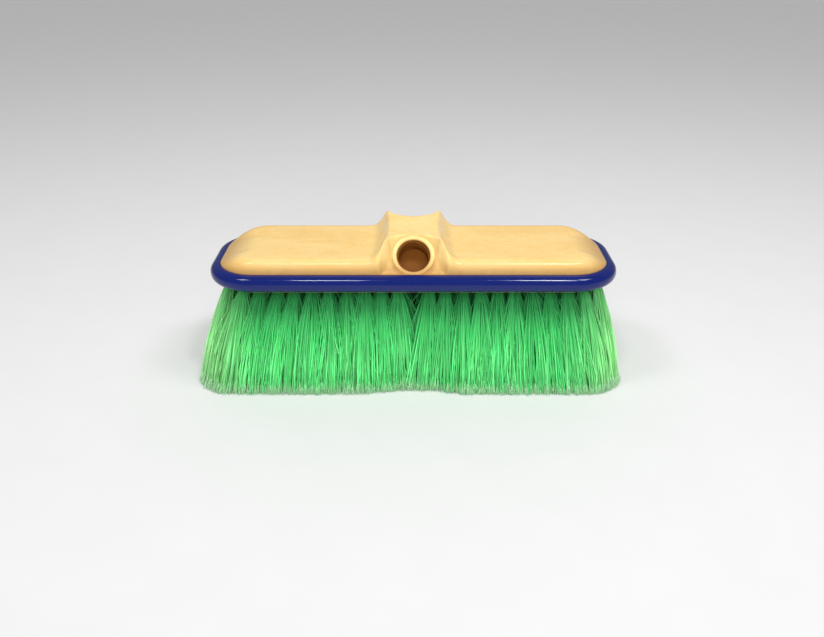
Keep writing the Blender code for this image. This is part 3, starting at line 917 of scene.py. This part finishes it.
@dataclass
class FoamBlock:
    """The moulded block: pillow, boss, sockets, edge groove and tuft holes."""

    pad: PadForm
    boss: BossForm
    plan: TuftPlan
    groove: EdgeGroove
    fine: float = 0.35 * MM
    medium: float = 0.9 * MM
    coarse: float = 2.4 * MM
    corner_stations: int = 16
    fillet_stations: int = 10
    foot_round: float = 1.6 * MM
    foot_steps: int = 3
    polish_passes: int = 3
    polish_factor: float = 0.5
    hole_sides: int = 20
    crease: float = math.radians(35.0)
    slot_thickness: float = 1.3 * MM
    slot_height: float = 2.4 * MM
    slot_bite: float = 1.5 * MM
    slot_overlap: float = 0.1 * MM
    hole_overrun: float = 1.0 * MM
    roll_inset: float = 7.6 * MM
    roll_drop: float = 1.0 * MM
    roll_tilt: float = math.radians(24.0)

    def stations(self) -> list[float]:
        """Space the surface's edges along the length, closest at the boss.

        Returns:
            Their places along X.
        """
        near = self.boss.ear_width / 2 + self.boss.scoop_run
        half = [0.0] + even_steps(0.0, near, self.fine)
        half += even_steps(near, self.boss.half_width, self.medium)
        half += even_steps(self.boss.half_width, self.pad.corner_start, self.coarse)
        for step in range(1, self.corner_stations + 1):
            angle = QUARTER_TURN * step / self.corner_stations
            half.append(self.pad.corner_start + self.pad.corner_radius * math.sin(angle))
        return [-x for x in half[:0:-1]] + half

    def lines(self) -> list[float]:
        """Space the surface's edges across the block, closest at the mouths and the fillets.

        Returns:
            Their places along Y, as shares of the half depth.
        """
        flat = self.pad.half_depth - self.pad.side_fillet_run
        rim_of_scoop = self.pad.half_depth / 2
        half = [0.0] + even_steps(0.0, rim_of_scoop, self.medium)
        half += even_steps(rim_of_scoop, flat, self.fine)
        for step in range(1, self.fillet_stations + 1):
            angle = QUARTER_TURN * step / self.fillet_stations
            half.append(flat + self.pad.side_fillet_run * math.sin(angle))
        shares = [y / self.pad.half_depth for y in half]
        return [-share for share in shares[:0:-1]] + shares

    def skirt(self) -> list[tuple[float, float]]:
        """Step down the wall, with the groove and the rounded foot.

        Returns:
            Inset and height of each step.
        """
        middle = self.groove.middle(self.pad.underside)
        half = self.groove.tongue_height / 2 + self.groove.gap
        floor = self.groove.tongue_depth + self.groove.gap
        steps = [(0.0, middle + half), (floor, middle + half), (floor, middle - half), (0.0, middle - half)]
        return steps + [(self.foot_round * inward, self.pad.underside + self.foot_round * above)
                        for inward, above in quarter_arc(self.foot_steps)]

    def body(self) -> bpy.types.Object:
        """Bend a grid into the upper surface and drop its wall to the underside.

        Returns:
            The uncut block.
        """
        stations, lines = self.stations(), self.lines()
        bm = bmesh.new()
        bmesh.ops.create_grid(bm, x_segments=len(stations) - 1, y_segments=len(lines) - 1, size=1.0)
        for vertex in bm.verts:
            column = round((vertex.co.x + 1) / 2 * (len(stations) - 1))
            row = round((vertex.co.y + 1) / 2 * (len(lines) - 1))
            x = stations[column]
            y = lines[row] * self.pad.half_depth_at(x)
            vertex.co = (x, y, self.boss.height(x, y))
        moulded = [vertex for vertex in bm.verts if not vertex.is_boundary]
        for _ in range(self.polish_passes):
            bmesh.ops.smooth_vert(bm, verts=moulded, factor=self.polish_factor, use_axis_z=True)
        edges = [edge for edge in bm.edges if edge.is_boundary]
        rim = {vertex for edge in edges for vertex in edge.verts}
        walls = {vertex: (vertex.co.copy(), self.pad.outward(vertex.co.x, vertex.co.y)) for vertex in rim}
        for inset, height in self.skirt():
            grown = bmesh.ops.extrude_edge_only(bm, edges=edges)["geom"]
            edges = [edge for edge in only(grown, bmesh.types.BMEdge) if edge.is_boundary]
            below = {}
            for vertex in {vertex for edge in edges for vertex in edge.verts}:
                above = next(edge.other_vert(vertex) for edge in vertex.link_edges
                             if edge.other_vert(vertex) in walls)
                start, outward = walls[above]
                vertex.co = start - outward * inset
                vertex.co.z = height
                below[vertex] = (start, outward)
            walls = below
        bmesh.ops.contextual_create(bm, geom=edges)
        return object_from_bmesh(bm, "moulded_block")

    def tuft_holes(self) -> bpy.types.Object:
        """Make the cutter for all the tuft holes.

        Returns:
            The cutter.
        """
        bm = bmesh.new()
        depth = self.plan.hole_depth + self.hole_overrun
        middle = self.pad.underside + self.plan.hole_depth - depth / 2
        for side, column in self.plan.order():
            x = self.plan.column_x(side, column)
            for y in self.plan.row_places(x):
                bmesh.ops.create_cone(bm, cap_ends=True, segments=self.hole_sides, depth=depth,
                                      radius1=self.plan.hole_radius, radius2=self.plan.hole_radius,
                                      matrix=Matrix.Translation((x, y, middle)))
        return object_from_bmesh(bm, "tuft_holes")

    def staple_slots(self) -> bpy.types.Object:
        """Make the cutter for the slots that the staples sit in, over the tuft holes.

        Returns:
            The cutter.
        """
        bm = bmesh.new()
        middle = self.pad.underside + self.plan.hole_depth - self.slot_height / 2 + self.slot_overlap
        for side, column in self.plan.order():
            x = self.plan.column_x(side, column)
            reach = max(self.plan.row_places(x)) + self.plan.hole_radius + self.slot_bite
            size = Matrix.Diagonal((self.slot_thickness, 2 * reach, self.slot_height, 1))
            bmesh.ops.create_cube(bm, size=1.0, matrix=Matrix.Translation((x, 0, middle)) @ size)
        return object_from_bmesh(bm, "staple_slots")

    def roll_off(self, collar: bpy.types.Object, side: Side) -> None:
        """Cut a collar's top back to the boss's rolled edge, into which it runs out.

        Args:
            collar: The collar.
            side: The side that its socket looks out of.
        """
        bm = bmesh.new()
        bm.from_mesh(collar.data)
        edge_of_roll = (0, side * (self.boss.mouth_y - self.roll_inset), self.boss.top - self.roll_drop)
        cut = bmesh.ops.bisect_plane(
            bm, geom=bm.verts[:] + bm.edges[:] + bm.faces[:], clear_outer=True, plane_co=edge_of_roll,
            plane_no=(0, side * math.sin(self.roll_tilt), math.cos(self.roll_tilt)))["geom_cut"]
        bmesh.ops.contextual_create(bm, geom=only(cut, bmesh.types.BMEdge))
        bm.to_mesh(collar.data)
        bm.free()

    def build(self, material: bpy.types.Material) -> None:
        """Build the block and put it on the frame.

        Args:
            material: Its finish.
        """
        block = self.body()
        socket = self.boss.socket
        places = [socket.frame(side, self.boss.mouth_y, self.boss.mouth_z) for side in Side]
        collars = [socket.collar(place) for place in places]
        for side, collar in zip(Side, collars):
            self.roll_off(collar, side)
        work_with(block, Cut.ADD, collars)
        cutters = [make(place) for place in places for make in (socket.bore, socket.thread)]
        work_with(block, Cut.TAKE_AWAY, cutters + [self.tuft_holes(), self.staple_slots()])
        block.data.shade_smooth()
        block.data.set_sharp_from_angle(angle=self.crease)
        deliver(block, Slot.FOAM, material, ["foam_block"])


@dataclass
class BumperRing:
    """The vinyl bumper: a half-round section swept round the block, with its tongue inside."""

    pad: PadForm
    groove: EdgeGroove
    reach: float = 6.3 * MM
    section_steps: int = 22
    fullness: float = 2.3
    corner_steps: int = 20
    run_spacing: float = 5.0 * MM
    ripple: float = 0.07 * MM
    ripple_scale: float = 45.0
    seam_weld: float = 0.01 * MM
    crease: float = math.radians(50.0)

    def section(self) -> list[tuple[float, float]]:
        """Draw the section's outline.

        Returns:
            Distance out from the wall and height over the middle of each point.
        """
        half_height = self.groove.bumper_height / 2
        gap = self.groove.gap
        power = 2 / self.fullness
        points = []
        for step in range(self.section_steps + 1):
            angle = math.pi * step / self.section_steps
            out = max(math.sin(angle), 0) ** power
            up = math.copysign(abs(math.cos(angle)) ** power, math.cos(angle))
            points.append((gap + self.reach * out, half_height * up))
        tongue = self.groove.tongue_height / 2
        inside = self.groove.tongue_depth
        return points + [(gap, -tongue), (-inside, -tongue), (-inside, tongue), (gap, tongue)]

    def build(self, material: bpy.types.Material) -> None:
        """Sweep the section round the block and put the bumper on the frame.

        Args:
            material: Its finish.
        """
        middle = self.groove.middle(self.pad.underside)
        bm = bmesh.new()
        ring = [bm.verts.new((0, -self.pad.half_depth - out, middle + up)) for out, up in self.section()]
        line = [bm.edges.new(pair) for pair in zip(ring, ring[1:] + ring[:1])]
        reach_x = self.pad.corner_start
        reach_y = self.pad.half_depth - self.pad.corner_radius
        legs = ((Vector((reach_x, 0, 0)), (reach_x, -reach_y)),
                (Vector((0, 2 * reach_y, 0)), (reach_x, reach_y)),
                (Vector((-2 * reach_x, 0, 0)), (-reach_x, reach_y)),
                (Vector((0, -2 * reach_y, 0)), (-reach_x, -reach_y)))
        for run, corner in legs:
            line = self._run(bm, line, run)
            line = self._turn(bm, line, corner)
        self._run(bm, line, Vector((reach_x, 0, 0)))
        bmesh.ops.remove_doubles(bm, verts=bm.verts[:], dist=self.seam_weld)
        for vertex in bm.verts:
            swell = self.ripple * noise.noise(vertex.co * self.ripple_scale)
            vertex.co += self.pad.outward(vertex.co.x, vertex.co.y) * swell
        bumper = object_from_bmesh(bm, "edge_bumper")
        bumper.data.shade_smooth()
        bumper.data.set_sharp_from_angle(angle=self.crease)
        deliver(bumper, Slot.VINYL, material, ["vinyl_bumper"])

    def _run(self, bm: bmesh.types.BMesh, line: list[bmesh.types.BMEdge],
             run: Vector) -> list[bmesh.types.BMEdge]:
        """Extrude the section along a straight run.

        Args:
            bm: The bumper.
            line: Edges of the section.
            run: The way to go.

        Returns:
            The section's edges at the end.
        """
        steps = max(round(run.length / self.run_spacing), 1)
        for _ in range(steps):
            grown = bmesh.ops.extrude_edge_only(bm, edges=line)["geom"]
            bmesh.ops.translate(bm, vec=run / steps, verts=only(grown, bmesh.types.BMVert))
            line = [edge for edge in only(grown, bmesh.types.BMEdge) if edge.is_boundary]
        return line

    def _turn(self, bm: bmesh.types.BMesh, line: list[bmesh.types.BMEdge],
              corner: tuple[float, float]) -> list[bmesh.types.BMEdge]:
        """Spin the section round a corner.

        Args:
            bm: The bumper.
            line: Edges of the section.
            corner: Middle of the turn.

        Returns:
            The section's edges at the end.
        """
        ends = list({vertex for edge in line for vertex in edge.verts})
        spun = bmesh.ops.spin(bm, geom=ends + line, cent=(*corner, 0), axis=(0, 0, 1),
                              angle=QUARTER_TURN, steps=self.corner_steps)
        return only(spun["geom_last"], bmesh.types.BMEdge)


@dataclass
class Lock:
    """A lock of filament in a tuft: its place in the unit disc, and what its filaments share."""

    place: Vector
    wander: Vector
    bow: Vector
    depth_spread: float
    tone: float


@dataclass
class Strand:
    """One filament: the middles and radii of its rings from root to tip, and its tone."""

    path: list[Vector]
    radii: Sequence[float]
    turn: float
    tone: float


@dataclass
class TuftBrush:
    """The filament of every tuft, grown in one piece for each column."""

    pad: PadForm
    plan: TuftPlan
    filaments: int = 196
    locks: int = 14
    sides: int = 3
    filament_radii: tuple[float, ...] = tuple(
        radius * MM for radius in (0.22, 0.29, 0.34, 0.37, 0.37, 0.19))
    flags: int = 3
    flag_radius: float = 0.12 * MM
    flag_taper: float = 0.4
    flag_length: float = 10.0 * MM
    flag_shares: tuple[float, float] = (0.25, 1.0)
    flag_splay: float = 1.1 * MM
    flag_unevenness: float = 0.5
    flag_tone: float = 0.3
    root_height: float = 2.5 * MM
    root_spread: float = 2.0 * MM
    root_order: float = 0.6
    root_disorder: float = 2.0
    lock_jitter: float = 0.3
    tip_lengths: tuple[float, float] = (138.5 * MM, 134.0 * MM)
    column_share: float = 0.0906
    tip_half_depth: float = 51.0 * MM
    tip_corner: float = 25.0 * MM
    trim_softness: float = 2.0 * MM
    tuft_wander: float = 1.0 * MM
    tip_spread_x: float = 9.2 * MM
    tip_spread_y: float = 10.5 * MM
    tip_margin: float = 0.8
    row_overlap: float = 0.6
    lock_wander: float = 1.1 * MM
    loose: float = 1.0 * MM
    bow: float = 0.7 * MM
    lean_flare: float = 0.15
    spread_flare: float = 0.5
    tip_unevenness: float = 0.5 * MM
    unevenness_limit: float = 3.0
    stray_share: float = 0.05
    stray_reach: float = 15.0 * MM
    stray_tone: float = 0.25
    middle_tuck: float = 4.5 * MM
    tuck_zone: tuple[float, float] = (6.0 * MM, 34.0 * MM)
    # painted light: strands that end near the brush's ends get a lighter tone
    lit_end_zone: float = 24.0 * MM
    lit_end_tone: float = 0.5
    tuft_tone_spread: float = 0.08
    lock_tone_spread: float = 0.12
    tone_spread: float = 0.14

    def tip_length(self, x: float) -> float:
        """Length of the cut tips on the side of the middle that a place is on."""
        return self.tip_lengths[x > 0]

    def tip_reach(self, x: float) -> float:
        """Measure the outline of the cut tips.

        Args:
            x: A place along the length.

        Returns:
            Half the depth of the tips there.
        """
        tuck = self.middle_tuck * (1 - smoothstep(abs(x), *self.tuck_zone))
        into_corner = min(max(abs(x) - self.tip_length(x) + self.tip_corner, 0), self.tip_corner)
        rounding = self.tip_corner - math.sqrt(self.tip_corner ** 2 - into_corner ** 2)
        return self.tip_half_depth - tuck - rounding

    def middle_reach(self, x: float) -> float:
        """Farthest place across the brush of the middle of a tuft's tips."""
        return self.tip_reach(x) - self.tip_margin * self.tip_spread_y

    def tuft_tip(self, dice: random.Random, side: int, column: int, y_share: float) -> Vector:
        """Fan a tuft out with its column.

        Args:
            dice: The column's random numbers.
            side: -1 for the left half of the brush, 1 for the right.
            column: Number of the column from the middle.
            y_share: Place of the tuft in its column, from -1 to 1.

        Returns:
            Middle of the tuft's cut tips.
        """
        x = side * self.tip_length(side) * self.column_share * (column + 1 / 2)
        y = y_share * self.middle_reach(x)
        return Vector((x + dice.gauss(0, self.tuft_wander), y + dice.gauss(0, self.tuft_wander), 0))

    def within_trim(self, dice: random.Random, tip: Vector) -> Vector:
        """Bring a tip inside the trim, whose edge varies a little.

        Args:
            dice: The column's random numbers.
            tip: Where the filament would end.

        Returns:
            The nearest place at which it may end.
        """
        half = self.tip_length(tip.x) - abs(dice.gauss(0, self.trim_softness))
        x = max(min(tip.x, half), -half)
        reach = self.tip_reach(x) - abs(dice.gauss(0, self.trim_softness))
        return Vector((x, max(min(tip.y, reach), -reach), 0))

    def depth_spread(self, x: float, rows: int) -> float:
        """Spread of a tuft's tips along the depth, wider where a column has few tufts."""
        spacing = 2 * self.middle_reach(x) / (rows - 1)
        return max(self.tip_spread_y, self.row_overlap * spacing)

    def filament(self, dice: random.Random, root: Vector, tip: Vector, lock: Lock) -> Strand:
        """Draw one filament of a lock.

        Args:
            dice: The column's random numbers.
            root: Middle of the tuft's hole.
            tip: Middle of the tuft's tips.
            lock: Its lock.

        Returns:
            The filament.
        """
        tone = lock.tone
        jitter = stray(dice, self.lock_jitter)
        spot = lock.place + jitter
        side_of_hole = (lock.place * self.root_order + jitter * self.root_disorder).normalized()
        start = root + side_of_hole * self.root_spread * math.sqrt(dice.random())
        spread = Vector((spot.x * self.tip_spread_x, spot.y * lock.depth_spread, 0)) + lock.wander
        spread += stray(dice, self.loose)
        if dice.random() < self.stray_share:
            spread.x += dice.gauss(0, self.stray_reach)
            tone += self.stray_tone
        end = self.within_trim(dice, tip + spread)
        lean = Vector((tip.x - root.x, tip.y - root.y, 0))
        spread = Vector((end.x - start.x, end.y - start.y, 0)) - lean
        tip_height = min(abs(dice.gauss(0, self.tip_unevenness)),
                         self.unevenness_limit * self.tip_unevenness)
        own_bow = lock.bow + stray(dice, self.loose)
        path = []
        rings = len(self.filament_radii)
        for ring in range(rings):
            share = ring / (rings - 1)
            left = 1 - share
            point = start + lean * share * (1 + self.lean_flare * left)
            point += spread * share * (1 + self.spread_flare * left) + own_bow * math.sin(math.pi * share)
            point.z = start.z * left + tip_height * share
            path.append(point)
        # painted light: a lighter tone for strands that end near the brush's ends
        end_of_brush = self.tip_length(end.x)
        tone += self.lit_end_tone * smoothstep(abs(end.x), end_of_brush - self.lit_end_zone, end_of_brush)
        tone = min(max(dice.gauss(tone, self.tone_spread), 0), 1)
        return Strand(path, self.filament_radii, dice.uniform(0, math.tau), tone)

    def flag(self, dice: random.Random, parent: Strand) -> Strand:
        """Draw one of the fine hairs that a filament's tip is split into.

        Args:
            dice: The column's random numbers.
            parent: The filament.

        Returns:
            The hair.
        """
        end = parent.path[-1]
        along = (end - parent.path[-2]).normalized()
        tip = end + stray(dice, self.flag_splay)
        start = end - along * self.flag_length * dice.uniform(*self.flag_shares)
        lift = dice.uniform(-self.flag_unevenness, self.flag_unevenness) * self.tip_unevenness
        tip.z = max(end.z + lift, 0)
        return Strand([start, tip], [self.flag_radius, self.flag_radius * self.flag_taper], parent.turn,
                      min(parent.tone + self.flag_tone, 1))

    def caps(self, bm: bmesh.types.BMesh, count: int) -> list[bmesh.types.BMFace]:
        """Lay out caps of unit size for strands to grow from, by copying the first.

        Args:
            bm: The bmesh that takes them.
            count: How many there are.

        Returns:
            The caps.
        """
        first = bmesh.ops.create_circle(bm, cap_ends=True, segments=self.sides, radius=1.0)["verts"][0]
        caps = list(first.link_faces)
        while len(caps) < count:
            copied = bmesh.ops.duplicate(bm, geom=caps[:count - len(caps)])["geom"]
            caps += only(copied, bmesh.types.BMFace)
        return caps

    def grow(self, bm: bmesh.types.BMesh, strands: list[Strand]) -> None:
        """Grow strands from their caps, one ring at a time.

        Args:
            bm: The bmesh that takes them.
            strands: Strands with as many rings each.
        """
        number_of = bm.verts.layers.int["strand"]
        tone_of = bm.verts.layers.float["tone"]
        caps = self.caps(bm, len(strands))
        for number, (cap, strand) in enumerate(zip(caps, strands)):
            turn = Matrix.Rotation(strand.turn, 3, "Z")
            for corner in cap.verts:
                corner.co = strand.path[0] + turn @ corner.co * strand.radii[0]
                corner[number_of] = number
                corner[tone_of] = strand.tone
        for ring in range(1, len(strands[0].path)):
            grown = bmesh.ops.extrude_face_region(bm, geom=caps)["geom"]
            caps = only(grown, bmesh.types.BMFace)
            for corner in only(grown, bmesh.types.BMVert):
                strand = strands[corner[number_of]]
                taper = strand.radii[ring] / strand.radii[ring - 1]
                corner.co = strand.path[ring] + (corner.co - strand.path[ring - 1]) * taper

    def column(self, number: int, side: int, column: int) -> bpy.types.Object:
        """Grow the tufts of one column.

        Args:
            number: Number of the column from the left.
            side: -1 for the left half of the brush, 1 for the right.
            column: Number of the column from the middle.

        Returns:
            The column's filament.
        """
        dice = random.Random(number)
        x = self.plan.column_x(side, column)
        rows = self.plan.row_places(x)
        strands = []
        for y in rows:
            root = Vector((x, y, self.pad.underside + self.root_height))
            tip = self.tuft_tip(dice, side, column, y / max(rows))
            tuft_tone = dice.gauss(MIDDLE_TONE, self.tuft_tone_spread)
            for number_of_lock in range(self.locks):
                turn = number_of_lock * math.pi * GOLDEN_TURN
                out = math.sqrt((number_of_lock + 1 / 2) / self.locks)
                lock = Lock(place=Vector((out * math.cos(turn), out * math.sin(turn), 0)),
                            wander=stray(dice, self.lock_wander), bow=stray(dice, self.bow),
                            depth_spread=self.depth_spread(tip.x, len(rows)),
                            tone=dice.gauss(tuft_tone, self.lock_tone_spread))
                strands += [self.filament(dice, root, tip, lock)
                            for _ in range(self.filaments // self.locks)]
        bm = bmesh.new()
        bm.verts.layers.int.new("strand")
        bm.verts.layers.float.new("tone")
        self.grow(bm, strands)
        self.grow(bm, [self.flag(dice, strand) for strand in strands for _ in range(self.flags)])
        made = object_from_bmesh(bm, f"filament_column_{number:02d}")
        made.data.shade_smooth()
        return made

    def build(self, material: bpy.types.Material) -> None:
        """Grow every column and put it on the frame.

        Args:
            material: The filament's finish.
        """
        for number, (side, column) in enumerate(self.plan.order(), start=1):
            deliver(self.column(number, side, column), Slot.BRISTLE, material,
                    [f"bristle_column_{number:02d}"])


def dress_staples(material: bpy.types.Material) -> None:
    """Give the staple wires, which keep their CAD solids, their steel.

    Args:
        material: The steel.
    """
    for name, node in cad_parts.items():
        if name.startswith("staple_wire"):
            for slot in node.material_slots:
                slot.material = material


@dataclass
class SoftBox:
    """A rectangular studio lamp that looks at the block."""

    name: str
    place: Triple
    width: float
    depth: float
    power: float
    aim: Triple = (0.0, 0.0, 70.0 * MM)

    def build(self) -> None:
        """Add the lamp to the scene."""
        lamp = bpy.data.lights.new(self.name, "AREA")
        lamp.shape = "RECTANGLE"
        lamp.size = self.width
        lamp.size_y = self.depth
        lamp.energy = self.power
        made = stand(lamp, self.name)
        made.location = self.place
        made.rotation_euler = (Vector(self.aim) - Vector(self.place)).to_track_quat("-Z", "Y").to_euler()


@dataclass
class SoftSun:
    """A broad distant lamp, which lights the floor as evenly as the brush and shows in no gloss."""

    name: str
    elevation: float
    breadth: float
    strength: float

    def build(self) -> None:
        """Add the lamp to the scene, over the line from the front to the back."""
        lamp = bpy.data.lights.new(self.name, "SUN")
        lamp.angle = self.breadth
        lamp.energy = self.strength
        made = stand(lamp, self.name)
        made.rotation_euler = (QUARTER_TURN - self.elevation, 0, 0)
        made.visible_glossy = False


@dataclass
class Studio:
    """Floor, lamps, world and camera."""

    floor_size: float = 30.0
    floor_drop: float = 0.1 * MM
    floor_dark: Colour = (0.76, 0.76, 0.76, 1.0)
    floor_light: Colour = (0.79, 0.79, 0.79, 1.0)
    floor_tooth: Triple = (30.0, 30.0, 30.0)
    floor_roughness: float = 0.6
    sky: Colour = (1.0, 1.0, 1.0, 1.0)
    sky_strength: float = 0.24
    elevation: float = math.radians(25.75)
    distance: float = 0.568
    aim: Triple = (-0.9 * MM, 0.0, 29.0 * MM)
    focal_length: float = 37.2
    lamps: list[SoftSun | SoftBox] = field(default_factory=lambda: [
        SoftSun("front_fill", elevation=math.radians(28), breadth=math.radians(40), strength=1.65),
        SoftSun("back_fill", elevation=math.radians(150), breadth=math.radians(80), strength=0.6),
        SoftBox("left_strip", place=(-0.145, -0.38, 1.0), width=0.12, depth=0.12, power=1.3),
        SoftBox("right_strip", place=(0.25, -0.38, 1.0), width=0.12, depth=0.20, power=2.4),
        SoftBox("left_key", place=(-0.51, -0.21, 1.0), width=0.26, depth=0.26, power=2.2),
        SoftBox("right_key", place=(0.51, -0.21, 1.0), width=0.34, depth=0.30, power=2.8),
    ])

    def floor(self) -> None:
        """Lay a pale floor under the tips."""
        bm = bmesh.new()
        bmesh.ops.create_grid(bm, x_segments=1, y_segments=1, size=self.floor_size / 2)
        plane = object_from_bmesh(bm, "studio_floor")
        plane.location.z = -self.floor_drop
        sheet = ShaderSheet("pale_floor")
        tooth = sheet.speckle(self.floor_tooth, octaves=2.0)
        sheet.drive("Base Color", sheet.blend(tooth, self.floor_dark, self.floor_light))
        sheet.fix({"Roughness": self.floor_roughness})
        plane.data.materials.append(sheet.material)

    def world(self) -> None:
        """Surround the brush with an even pale sky."""
        world = bpy.data.worlds.new("pale_sky")
        world.use_nodes = True
        background = world.node_tree.nodes["Background"]
        background.inputs["Color"].default_value = self.sky
        background.inputs["Strength"].default_value = self.sky_strength
        bpy.context.scene.world = world

    def camera(self) -> None:
        """Stand the camera where the photograph was taken."""
        data = bpy.data.cameras.new("photo_camera")
        data.lens = self.focal_length
        camera = stand(data, "photo_camera")
        back = Vector((0, -math.cos(self.elevation), math.sin(self.elevation)))
        camera.location = Vector(self.aim) + back * self.distance
        camera.rotation_euler = (QUARTER_TURN - self.elevation, 0, 0)
        bpy.context.scene.camera = camera

    def build(self) -> None:
        """Build the whole studio."""
        self.camera()
        self.world()
        self.floor()
        for lamp in self.lamps:
            lamp.build()
        bpy.context.scene.view_settings.view_transform = "Standard"


def main() -> None:
    """Build the studio, dress the brush piece by piece and report each one."""
    logging.basicConfig(level=logging.INFO, format="%(name)s %(message)s")
    Studio().build()
    low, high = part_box("foam_block")
    pad = PadForm(half_length=high.x, half_depth=high.y, underside=low.z)
    boss = BossForm(pad, SocketForm())
    plan = TuftPlan(pad)
    groove = EdgeGroove()
    FoamBlock(pad, boss, plan, groove).build(FoamSkin(boss).material())
    BumperRing(pad, groove).build(GlossyVinyl().material())
    TuftBrush(pad, plan).build(FlaggedFilament().material())
    dress_staples(StapleSteel().material())


if __name__ == "__main__":
    main()
